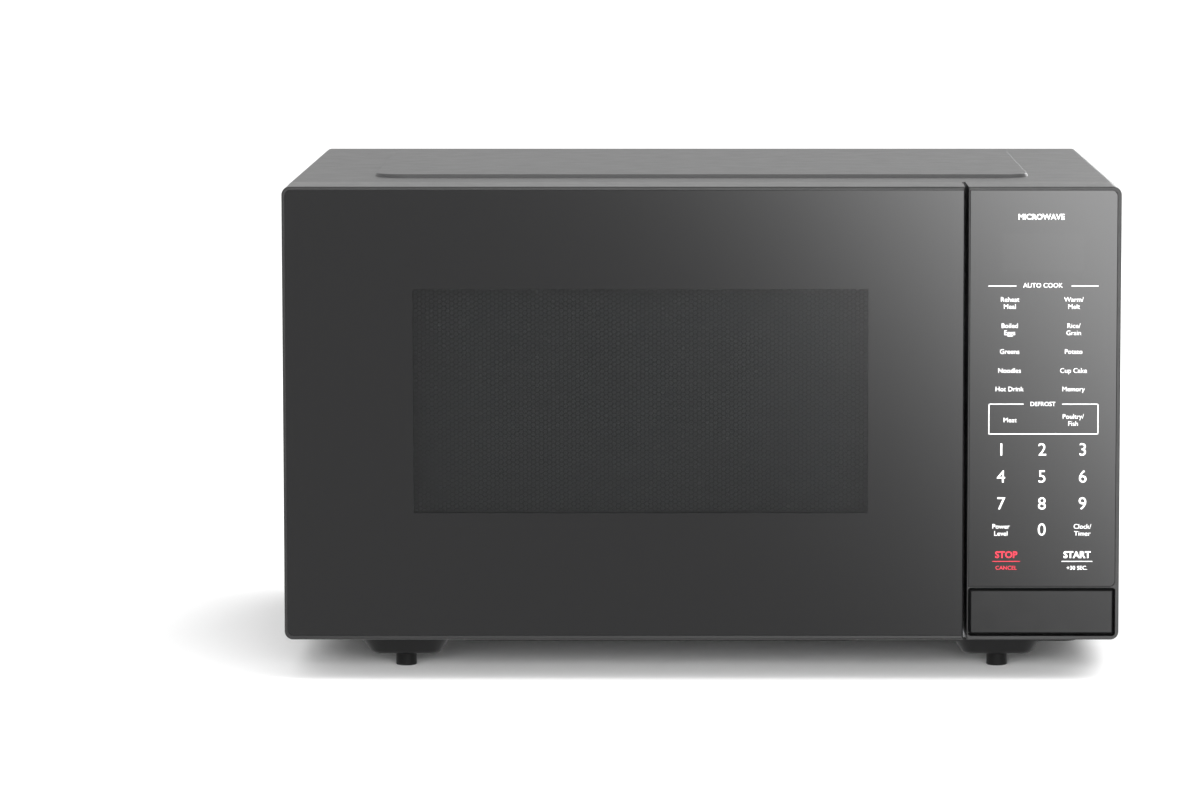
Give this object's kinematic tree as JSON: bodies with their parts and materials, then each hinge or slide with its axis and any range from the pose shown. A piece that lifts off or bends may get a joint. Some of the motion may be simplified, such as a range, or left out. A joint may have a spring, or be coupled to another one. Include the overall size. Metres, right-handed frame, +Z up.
{
  "type": "microwave oven",
  "caption": "Countertop inverter microwave oven with a side-hinged dark glass door, touch panel, long release button, turntable and stub feet.",
  "frame": {"origin": "middle of the footprint on the table", "axes": "+X to the right seen from the front, +Y to the back, +Z up"},
  "size_m": [0.554, 0.443, 0.3307],
  "materials": {
    "glass_front": "gloss tinted glass, painted behind",
    "black_plastic": "fine matt moulding",
    "button_plastic": "satin",
    "wrap_paint": "satin powder coat",
    "base_steel": "matt",
    "cavity_paint": "speckled enamel",
    "zinc_steel": "zinc plated",
    "aluminium_fins": "rolled",
    "mica": "mica sheet",
    "clear_film": "clear",
    "plate_glass": "clear pressed glass",
    "rubber_feet": "matt",
    "board": "glass epoxy",
    "dark_parts": "moulded",
    "white_plastic": "moulded"
  },
  "bodies": {
    "cabinet": {"air_guide": "black_plastic", "back_plate": "base_steel", "base_plate": "base_steel", "button_spring": "zinc_steel", "cabinet_screws": "zinc_steel", "cabinet_wrap": "wrap_paint", "cavity_floor": "cavity_paint", "cavity_lamp": "plate_glass", "cavity_top": "cavity_paint", "cavity_walls": "cavity_paint", "control_board": "board", "cord_bush": "black_plastic", "display_module": "dark_parts", "exhaust_duct": "black_plastic", "fan_motor": "zinc_steel", "fan_shroud": "black_plastic", "feet": "rubber_feet", "front_plate": "cavity_paint", "heat_sink": "aluminium_fins", "hinge_pins": "zinc_steel", "humidity_sensor": "dark_parts", "interlock_bracket": "black_plastic", "inverter_board": "board", "inverter_transformer": "dark_parts", "lamp_housing": "black_plastic", "lower_hinge_bracket": "zinc_steel", "magnetron_tube": "aluminium_fins", "magnetron_yoke": "zinc_steel", "main_fuse": "dark_parts", "microswitches": "dark_parts", "noise_filter_board": "board", "panel_frame": "black_plastic", "panel_glass": "glass_front", "rear_spacers": "black_plastic", "thermal_cutouts": "zinc_steel", "touch_board": "board", "turntable_motor": "zinc_steel", "upper_hinge_bracket": "zinc_steel", "waveguide": "zinc_steel", "waveguide_cover": "mica"},
    "door": {"door_frame": "black_plastic", "door_glass": "glass_front", "window_screen": "cavity_paint", "choke_panel": "cavity_paint", "choke_cover": "black_plastic", "inner_window": "clear_film", "hook_spring": "zinc_steel"},
    "latch": {"latch_hook": "black_plastic"},
    "button": {"release_button": "button_plastic"},
    "lever": {"release_lever": "black_plastic"},
    "turntable_drive": {"drive_coupler": "white_plastic", "motor_shaft": "zinc_steel"},
    "plate": {"glass_plate": "plate_glass"},
    "ring": {"roller_ring": "white_plastic"},
    "roller_a": {"roller_1": "white_plastic"},
    "roller_b": {"roller_2": "white_plastic"},
    "roller_c": {"roller_3": "white_plastic"},
    "fan": {"fan_blade": "black_plastic", "fan_shaft": "zinc_steel"}
  },
  "joints": [
    {"name": "door_hinge", "type": "hinge", "parent": "cabinet", "child": "door", "pos_m": [-0.269, -0.182, 0.178], "axis": [0, 0, -1], "range_deg": [0, 110]},
    {"name": "latch_lift", "type": "slide", "parent": "door", "child": "latch", "axis": [0, 0, 1], "range_m": [0, 0.0025], "deforming": ["hook_spring"]},
    {"name": "button_press", "type": "slide", "parent": "cabinet", "child": "button", "axis": [0, 1, 0], "range_m": [0, 0.005], "stiffness_N_per_m": 400, "springref_m": -0.002, "deforming": ["button_spring"]},
    {"name": "lever_turn", "type": "hinge", "parent": "cabinet", "child": "lever", "pos_m": [0.1657, -0.1595, 0.0568], "axis": [1, 0, 0], "range_deg": [0, 14.32]},
    {"name": "turntable_spin", "type": "hinge", "parent": "cabinet", "child": "turntable_drive", "pos_m": [-0.057, 0.0195, 0.0465], "axis": [0, 0, 1], "continuous": true},
    {"name": "plate_lift", "type": "slide", "parent": "turntable_drive", "child": "plate", "axis": [0, 0, 1], "range_m": [0, 0.04]},
    {"name": "ring_spin", "type": "hinge", "parent": "cabinet", "child": "ring", "pos_m": [-0.057, 0.0195, 0.0548], "axis": [0, 0, 1], "continuous": true},
    {"name": "roller_a_spin", "type": "hinge", "parent": "ring", "child": "roller_a", "pos_m": [0.0735, 0.0195, 0.0548], "axis": [1, 0, 0], "continuous": true},
    {"name": "roller_b_spin", "type": "hinge", "parent": "ring", "child": "roller_b", "pos_m": [-0.12225, 0.13252, 0.0548], "axis": [-0.5, 0.866, 0], "continuous": true},
    {"name": "roller_c_spin", "type": "hinge", "parent": "ring", "child": "roller_c", "pos_m": [-0.12225, -0.09352, 0.0548], "axis": [-0.5, -0.866, 0], "continuous": true},
    {"name": "fan_spin", "type": "hinge", "parent": "cabinet", "child": "fan", "pos_m": [0.21143, 0.1875, 0.1002], "axis": [0, -1, 0], "continuous": true}
  ],
  "couplings": [
    {"joint": "lever_turn", "follows": "button_press", "rad_per_m": 50},
    {"joint": "latch_lift", "follows": "button_press", "ratio": 0.5},
    {"joint": "ring_spin", "follows": "turntable_spin", "ratio": 0.5},
    {"joint": "roller_a_spin", "follows": "turntable_spin", "ratio": -8.1562},
    {"joint": "roller_b_spin", "follows": "turntable_spin", "ratio": -8.1562},
    {"joint": "roller_c_spin", "follows": "turntable_spin", "ratio": -8.1562}
  ]
}
